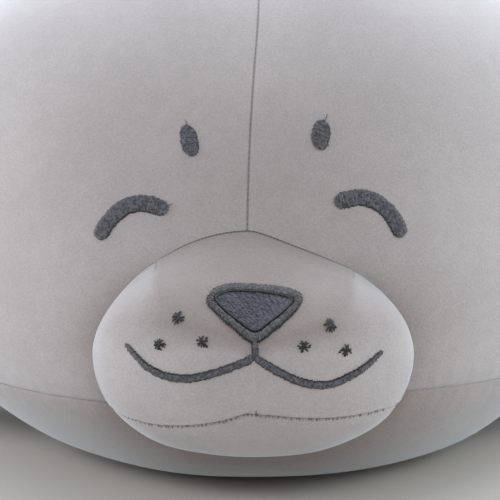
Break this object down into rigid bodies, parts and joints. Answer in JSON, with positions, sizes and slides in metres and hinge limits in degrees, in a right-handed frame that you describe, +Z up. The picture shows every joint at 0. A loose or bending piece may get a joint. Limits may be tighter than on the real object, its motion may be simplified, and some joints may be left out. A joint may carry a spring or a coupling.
{
  "type": "plush seal",
  "caption": "Plush seal lying on its belly, with a padded snout, embroidered closed eyes, nose and smile, and soft flippers.",
  "frame": {"origin": "centre of the flat patch of belly that the toy rests on", "axes": "+Y from the face towards the tail, +Z up, +X to the right of someone who looks at the face"},
  "size_m": [0.539, 0.6207, 0.2419],
  "materials": {
    "velour": "short-nap stretch velour, warm light grey",
    "filling": "white polyester fibre",
    "thread": "dark grey embroidery thread with a soft gloss"
  },
  "bodies": {
    "root": {"upper_panel_left": "velour", "upper_panel_right": "velour", "belly_panel": "velour", "body_filling": "filling", "snout_panel": "velour", "chin_panel": "velour", "snout_filling": "filling", "fore_flipper_left": "velour", "fore_flipper_right": "velour", "hind_flipper_left": "velour", "hind_flipper_right": "velour", "eye_left": "thread", "eye_right": "thread", "brow_left": "thread", "brow_right": "thread", "nose_rim": "thread", "nose_fill": "thread", "philtrum": "thread", "mouth_left": "thread", "mouth_right": "thread", "whisker_spot_left_1": "thread", "whisker_spot_left_2": "thread", "whisker_spot_left_3": "thread", "whisker_spot_right_1": "thread", "whisker_spot_right_2": "thread", "whisker_spot_right_3": "thread"}
  },
  "joints": []
}
